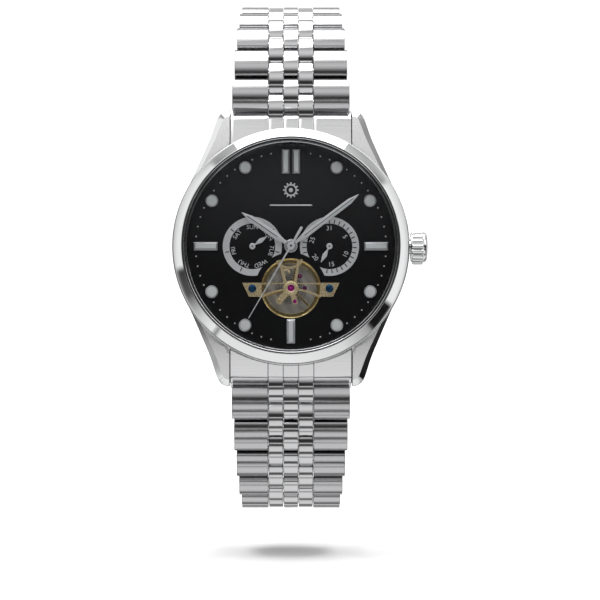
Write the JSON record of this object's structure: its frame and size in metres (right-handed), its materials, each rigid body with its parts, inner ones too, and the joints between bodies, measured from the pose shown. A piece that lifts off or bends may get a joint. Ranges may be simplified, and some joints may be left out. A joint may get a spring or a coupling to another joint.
{
  "type": "automatic wristwatch with open balance and link bracelet",
  "caption": "Round steel wristwatch with a black dial, day and date sub-dials, an open balance at the bottom of the dial, fluted crown and a folding-clasp link bracelet.",
  "frame": {"origin": "centre of the case back's outer face", "axes": "+Y from the case back into the wrist, so the dial faces -Y; +Z to 12 o'clock; +X to the crown"},
  "size_m": [0.0459, 0.0511, 0.0928],
  "materials": {
    "brushed_case": "brushed stainless steel",
    "bracelet_steel": "brushed outer pieces and polished beads",
    "polished_steel": "mirror polished steel",
    "crystal_glass": "clear flat glass",
    "gasket_rubber": "matt black rubber",
    "black_lacquer": "black satin lacquer",
    "silvered_ring": "silvered, finely turned",
    "plate_nickel": "matt nickel plating",
    "gilt_metal": "gilt, fine brushed",
    "ruby": "synthetic ruby",
    "blued_steel": "heat-blued steel",
    "gear_brass": "turned brass",
    "rotor_steel": "steel with straight stripes"
  },
  "bodies": {
    "case": {"mid_case": "brushed_case", "bezel": "polished_steel", "crystal": "crystal_glass", "case_gaskets": "gasket_rubber", "rehaut_ring": "polished_steel", "dial": "black_lacquer", "subdial_rings": "silvered_ring", "applied_markers": "polished_steel", "movement_ring": "plate_nickel", "main_plate": "plate_nickel", "train_bridge": "plate_nickel", "balance_bridge": "gilt_metal", "jewels": "ruby", "movement_screws": "blued_steel", "case_back": "brushed_case", "case_back_glass": "crystal_glass", "end_links": "brushed_case", "spring_bars": "brushed_case"},
    "minute": {"minute_hand": "polished_steel"},
    "hour": {"hour_hand": "polished_steel"},
    "day": {"day_hand": "polished_steel"},
    "date": {"date_hand": "polished_steel"},
    "seconds": {"seconds_hand": "polished_steel", "fourth_wheel": "gear_brass"},
    "center": {"center_wheel": "gear_brass"},
    "third": {"third_wheel": "gear_brass"},
    "escape": {"escape_wheel": "gear_brass"},
    "pallet": {"pallet_fork": "brushed_case"},
    "balance": {"balance_wheel": "gilt_metal", "hairspring": "blued_steel"},
    "barrel": {"barrel": "gear_brass"},
    "rotor": {"rotor": "rotor_steel"},
    "crown_seal": {"crown_gasket": "gasket_rubber"},
    "crown": {"crown": "polished_steel", "stem": "brushed_case"},
    "upper_1": {"upper_link_1": "bracelet_steel"},
    "upper_2": {"upper_link_2": "bracelet_steel"},
    "upper_3": {"upper_link_3": "bracelet_steel"},
    "upper_4": {"upper_link_4": "bracelet_steel"},
    "upper_5": {"upper_link_5": "bracelet_steel"},
    "upper_6": {"upper_link_6": "bracelet_steel"},
    "upper_7": {"upper_link_7": "bracelet_steel"},
    "upper_8": {"upper_link_8": "bracelet_steel"},
    "upper_9": {"upper_link_9": "bracelet_steel"},
    "upper_10": {"upper_link_10": "bracelet_steel"},
    "lower_1": {"lower_link_1": "bracelet_steel"},
    "lower_2": {"lower_link_2": "bracelet_steel"},
    "lower_3": {"lower_link_3": "bracelet_steel"},
    "lower_4": {"lower_link_4": "bracelet_steel"},
    "lower_5": {"lower_link_5": "bracelet_steel"},
    "lower_6": {"lower_link_6": "bracelet_steel"},
    "lower_7": {"lower_link_7": "bracelet_steel"},
    "lower_8": {"lower_link_8": "bracelet_steel"},
    "lower_9": {"lower_link_9": "bracelet_steel"},
    "lower_10": {"lower_link_10": "bracelet_steel"},
    "long_blade": {"clasp_long_blade": "brushed_case"},
    "short_blade": {"clasp_short_blade": "brushed_case"},
    "cover": {"clasp_cover": "brushed_case"},
    "button_left": {"clasp_button_left": "polished_steel"},
    "button_right": {"clasp_button_right": "polished_steel"}
  },
  "joints": [
    {"name": "minute_set", "type": "hinge", "parent": "case", "child": "minute", "pos_m": [0, 0, 0], "axis": [0, 1, 0], "continuous": true},
    {"name": "hour_turn", "type": "hinge", "parent": "case", "child": "hour", "pos_m": [0, 0, 0], "axis": [0, 1, 0], "continuous": true},
    {"name": "day_turn", "type": "hinge", "parent": "case", "child": "day", "pos_m": [-0.0069, 0, 0], "axis": [0, 1, 0], "continuous": true},
    {"name": "date_turn", "type": "hinge", "parent": "case", "child": "date", "pos_m": [0.0069, 0, 0], "axis": [0, 1, 0], "continuous": true},
    {"name": "escape_turn", "type": "hinge", "parent": "case", "child": "escape", "pos_m": [0.0016, 0, -0.0052], "axis": [0, 1, 0], "continuous": true},
    {"name": "seconds_turn", "type": "hinge", "parent": "case", "child": "seconds", "pos_m": [0, 0, 0], "axis": [0, 1, 0], "continuous": true},
    {"name": "third_turn", "type": "hinge", "parent": "case", "child": "third", "pos_m": [0.0027, 0, 0.00468], "axis": [0, 1, 0], "continuous": true},
    {"name": "center_turn", "type": "hinge", "parent": "case", "child": "center", "pos_m": [0, 0, 0], "axis": [0, 1, 0], "continuous": true},
    {"name": "barrel_turn", "type": "hinge", "parent": "case", "child": "barrel", "pos_m": [-0.00565, 0, -0.00151], "axis": [0, 1, 0], "continuous": true},
    {"name": "rotor_spin", "type": "hinge", "parent": "case", "child": "rotor", "pos_m": [0, 0, 0], "axis": [0, 1, 0], "continuous": true},
    {"name": "pallet_rock", "type": "hinge", "parent": "case", "child": "pallet", "pos_m": [0.00249, 0, -0.00732], "axis": [0, 1, 0], "range_deg": [-5, 5]},
    {"name": "balance_swing", "type": "hinge", "parent": "case", "child": "balance", "pos_m": [0, 0, -0.0075], "axis": [0, 1, 0], "range_deg": [-270, 270], "stiffness_Nm_per_rad": 0.0000004},
    {"name": "crown_pull", "type": "slide", "parent": "case", "child": "crown_seal", "axis": [1, 0, 0], "range_m": [0, 0.0013]},
    {"name": "crown_turn", "type": "hinge", "parent": "crown_seal", "child": "crown", "pos_m": [0.022, -0.0049, 0], "axis": [1, 0, 0], "continuous": true},
    {"name": "upper_hinge_1", "type": "hinge", "parent": "case", "child": "upper_1", "pos_m": [0, -0.0034, 0.02635], "axis": [1, 0, 0], "range_deg": [0, 17.5]},
    {"name": "upper_hinge_2", "type": "hinge", "parent": "upper_1", "child": "upper_2", "pos_m": [0, -0.00215, 0.03222], "axis": [1, 0, 0], "range_deg": [0, 17.5]},
    {"name": "upper_hinge_3", "type": "hinge", "parent": "upper_2", "child": "upper_3", "pos_m": [0, 0.0008, 0.03744], "axis": [1, 0, 0], "range_deg": [0, 17.5]},
    {"name": "upper_hinge_4", "type": "hinge", "parent": "upper_3", "child": "upper_4", "pos_m": [0, 0.00519, 0.04153], "axis": [1, 0, 0], "range_deg": [0, 17.5]},
    {"name": "upper_hinge_5", "type": "hinge", "parent": "upper_4", "child": "upper_5", "pos_m": [0, 0.01061, 0.04412], "axis": [1, 0, 0], "range_deg": [0, 17.5]},
    {"name": "upper_hinge_6", "type": "hinge", "parent": "upper_5", "child": "upper_6", "pos_m": [0, 0.01655, 0.04495], "axis": [1, 0, 0], "range_deg": [0, 17.5]},
    {"name": "upper_hinge_7", "type": "hinge", "parent": "upper_6", "child": "upper_7", "pos_m": [0, 0.02246, 0.04396], "axis": [1, 0, 0], "range_deg": [0, 17.5]},
    {"name": "upper_hinge_8", "type": "hinge", "parent": "upper_7", "child": "upper_8", "pos_m": [0, 0.02781, 0.04124], "axis": [1, 0, 0], "range_deg": [0, 17.5]},
    {"name": "upper_hinge_9", "type": "hinge", "parent": "upper_8", "child": "upper_9", "pos_m": [0, 0.03209, 0.03703], "axis": [1, 0, 0], "range_deg": [0, 17.5]},
    {"name": "upper_hinge_10", "type": "hinge", "parent": "upper_9", "child": "upper_10", "pos_m": [0, 0.03491, 0.03173], "axis": [1, 0, 0], "range_deg": [0, 17.5]},
    {"name": "lower_hinge_1", "type": "hinge", "parent": "case", "child": "lower_1", "pos_m": [0, -0.0034, -0.02635], "axis": [-1, 0, 0], "range_deg": [0, 17.5]},
    {"name": "lower_hinge_2", "type": "hinge", "parent": "lower_1", "child": "lower_2", "pos_m": [0, -0.00215, -0.03222], "axis": [-1, 0, 0], "range_deg": [0, 17.5]},
    {"name": "lower_hinge_3", "type": "hinge", "parent": "lower_2", "child": "lower_3", "pos_m": [0, 0.0008, -0.03744], "axis": [-1, 0, 0], "range_deg": [0, 17.5]},
    {"name": "lower_hinge_4", "type": "hinge", "parent": "lower_3", "child": "lower_4", "pos_m": [0, 0.00519, -0.04153], "axis": [-1, 0, 0], "range_deg": [0, 17.5]},
    {"name": "lower_hinge_5", "type": "hinge", "parent": "lower_4", "child": "lower_5", "pos_m": [0, 0.01061, -0.04412], "axis": [-1, 0, 0], "range_deg": [0, 17.5]},
    {"name": "lower_hinge_6", "type": "hinge", "parent": "lower_5", "child": "lower_6", "pos_m": [0, 0.01655, -0.04495], "axis": [-1, 0, 0], "range_deg": [0, 17.5]},
    {"name": "lower_hinge_7", "type": "hinge", "parent": "lower_6", "child": "lower_7", "pos_m": [0, 0.02246, -0.04396], "axis": [-1, 0, 0], "range_deg": [0, 17.5]},
    {"name": "lower_hinge_8", "type": "hinge", "parent": "lower_7", "child": "lower_8", "pos_m": [0, 0.02781, -0.04124], "axis": [-1, 0, 0], "range_deg": [0, 17.5]},
    {"name": "lower_hinge_9", "type": "hinge", "parent": "lower_8", "child": "lower_9", "pos_m": [0, 0.03209, -0.03703], "axis": [-1, 0, 0], "range_deg": [0, 17.5]},
    {"name": "lower_hinge_10", "type": "hinge", "parent": "lower_9", "child": "lower_10", "pos_m": [0, 0.03491, -0.03173], "axis": [-1, 0, 0], "range_deg": [0, 17.5]},
    {"name": "clasp_swing", "type": "hinge", "parent": "upper_10", "child": "long_blade", "pos_m": [0, 0.03709, 0.01993], "axis": [1, 0, 0], "range_deg": [0, 50]},
    {"name": "clasp_unfold", "type": "hinge", "parent": "long_blade", "child": "short_blade", "pos_m": [0, 0.03752, -0.014], "axis": [-1, 0, 0], "range_deg": [0, 150]},
    {"name": "cover_fold", "type": "hinge", "parent": "short_blade", "child": "cover", "pos_m": [0, 0.03847, 0.012], "axis": [1, 0, 0], "range_deg": [0, 150]},
    {"name": "button_right_press", "type": "slide", "parent": "cover", "child": "button_right", "axis": [-1, 0, 0], "range_m": [0, 0.0005], "stiffness_N_per_m": 400, "springref_m": -0.0005},
    {"name": "button_left_press", "type": "slide", "parent": "cover", "child": "button_left", "axis": [1, 0, 0], "range_m": [0, 0.0005], "stiffness_N_per_m": 400, "springref_m": -0.0005}
  ],
  "couplings": [
    {"joint": "hour_turn", "follows": "minute_set", "ratio": 0.083333},
    {"joint": "day_turn", "follows": "minute_set", "ratio": 0.0059524},
    {"joint": "date_turn", "follows": "minute_set", "ratio": 0.0013441},
    {"joint": "seconds_turn", "follows": "escape_turn", "ratio": -0.083333},
    {"joint": "third_turn", "follows": "escape_turn", "ratio": 0.010417},
    {"joint": "center_turn", "follows": "escape_turn", "ratio": -0.0013889},
    {"joint": "barrel_turn", "follows": "escape_turn", "ratio": 0.00021368},
    {"joint": "upper_hinge_2", "follows": "upper_hinge_1", "ratio": 1},
    {"joint": "upper_hinge_3", "follows": "upper_hinge_1", "ratio": 1},
    {"joint": "upper_hinge_4", "follows": "upper_hinge_1", "ratio": 1},
    {"joint": "upper_hinge_5", "follows": "upper_hinge_1", "ratio": 1},
    {"joint": "upper_hinge_6", "follows": "upper_hinge_1", "ratio": 1},
    {"joint": "upper_hinge_7", "follows": "upper_hinge_1", "ratio": 1},
    {"joint": "upper_hinge_8", "follows": "upper_hinge_1", "ratio": 1},
    {"joint": "upper_hinge_9", "follows": "upper_hinge_1", "ratio": 1},
    {"joint": "upper_hinge_10", "follows": "upper_hinge_1", "ratio": 1},
    {"joint": "lower_hinge_2", "follows": "lower_hinge_1", "ratio": 1},
    {"joint": "lower_hinge_3", "follows": "lower_hinge_1", "ratio": 1},
    {"joint": "lower_hinge_4", "follows": "lower_hinge_1", "ratio": 1},
    {"joint": "lower_hinge_5", "follows": "lower_hinge_1", "ratio": 1},
    {"joint": "lower_hinge_6", "follows": "lower_hinge_1", "ratio": 1},
    {"joint": "lower_hinge_7", "follows": "lower_hinge_1", "ratio": 1},
    {"joint": "lower_hinge_8", "follows": "lower_hinge_1", "ratio": 1},
    {"joint": "lower_hinge_9", "follows": "lower_hinge_1", "ratio": 1},
    {"joint": "lower_hinge_10", "follows": "lower_hinge_1", "ratio": 1},
    {"joint": "cover_fold", "follows": "clasp_unfold", "ratio": 1}
  ]
}
